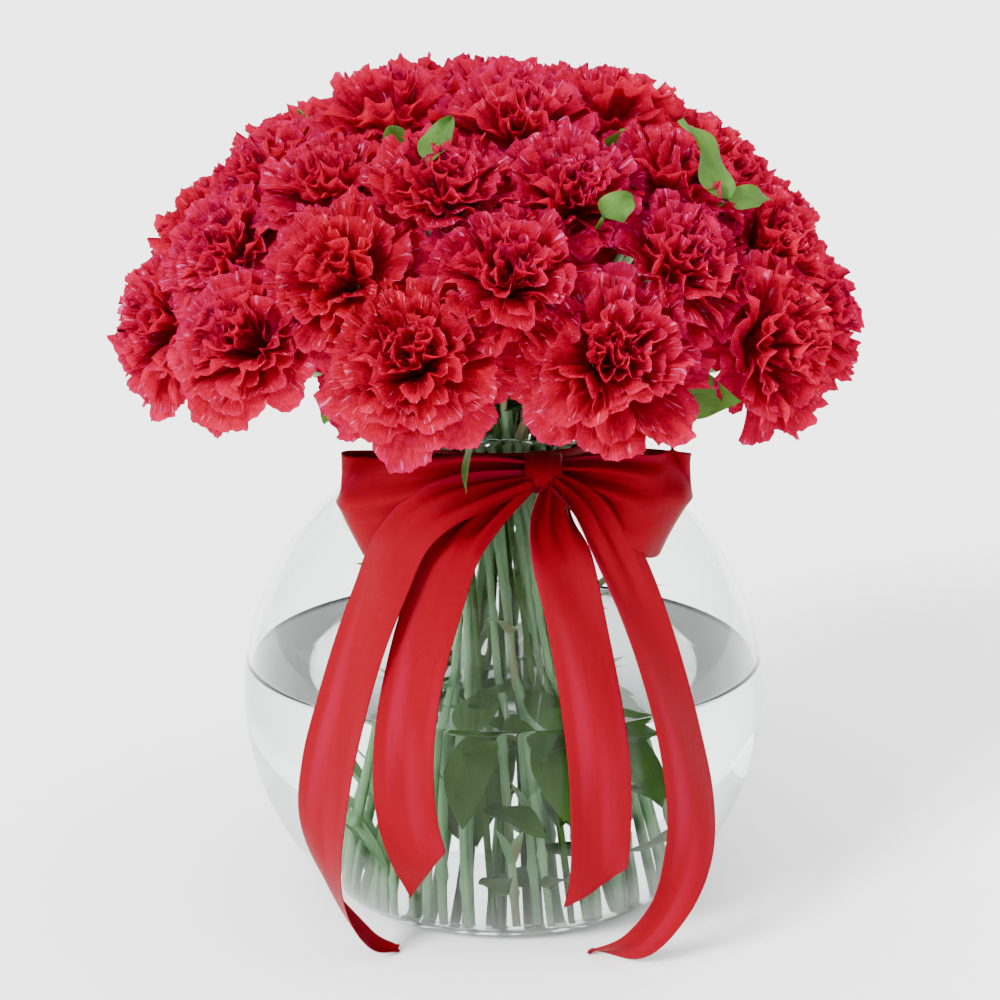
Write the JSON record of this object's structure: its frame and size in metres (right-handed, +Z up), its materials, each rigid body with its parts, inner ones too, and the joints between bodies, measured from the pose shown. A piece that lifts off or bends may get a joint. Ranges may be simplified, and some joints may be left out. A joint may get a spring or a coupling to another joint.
{
  "type": "vase of carnations",
  "caption": "Dome of ruffled red carnations standing in a round clear glass vase of water, with a red satin ribbon tied in a bow at the neck and its tails hanging down the front.",
  "frame": {"origin": "middle of the vase's flat foot, on the surface that it stands on", "axes": "+Z up, the front with the bow faces -Y, +X to the right as seen from the front"},
  "size_m": [0.3339, 0.3333, 0.3966],
  "materials": {
    "glass": "clear polished glass",
    "water": "still clear water",
    "petals": "soft, finely veined red petals",
    "stems": "matt pale green stems and narrow leaves",
    "leaves": "satin dark green leaves",
    "satin": "red satin ribbon"
  },
  "bodies": {
    "root": {"vase": "glass", "water": "water", "bloom_01": "petals", "bloom_02": "petals", "bloom_03": "petals", "bloom_04": "petals", "bloom_05": "petals", "bloom_06": "petals", "bloom_07": "petals", "bloom_08": "petals", "bloom_09": "petals", "bloom_10": "petals", "bloom_11": "petals", "bloom_12": "petals", "bloom_13": "petals", "bloom_14": "petals", "bloom_15": "petals", "bloom_16": "petals", "bloom_17": "petals", "bloom_18": "petals", "bloom_19": "petals", "bloom_20": "petals", "bloom_21": "petals", "bloom_22": "petals", "bloom_23": "petals", "bloom_24": "petals", "bloom_25": "petals", "bloom_26": "petals", "bloom_27": "petals", "bloom_28": "petals", "bloom_29": "petals", "bloom_30": "petals", "bloom_31": "petals", "bloom_32": "petals", "bloom_33": "petals", "bloom_34": "petals", "bloom_35": "petals", "bloom_36": "petals", "bloom_37": "petals", "bloom_38": "petals", "bloom_39": "petals", "stems_01": "stems", "stems_02": "stems", "stems_03": "stems", "stems_04": "stems", "stems_05": "stems", "stems_06": "stems", "stems_07": "stems", "stems_08": "stems", "stems_09": "stems", "stems_10": "stems", "stems_11": "stems", "greens_01": "leaves", "greens_02": "leaves", "greens_03": "leaves", "greens_04": "leaves", "greens_05": "leaves", "ribbon_bow": "satin", "ribbon_tails_left": "satin", "ribbon_tails_right": "satin"}
  },
  "joints": []
}
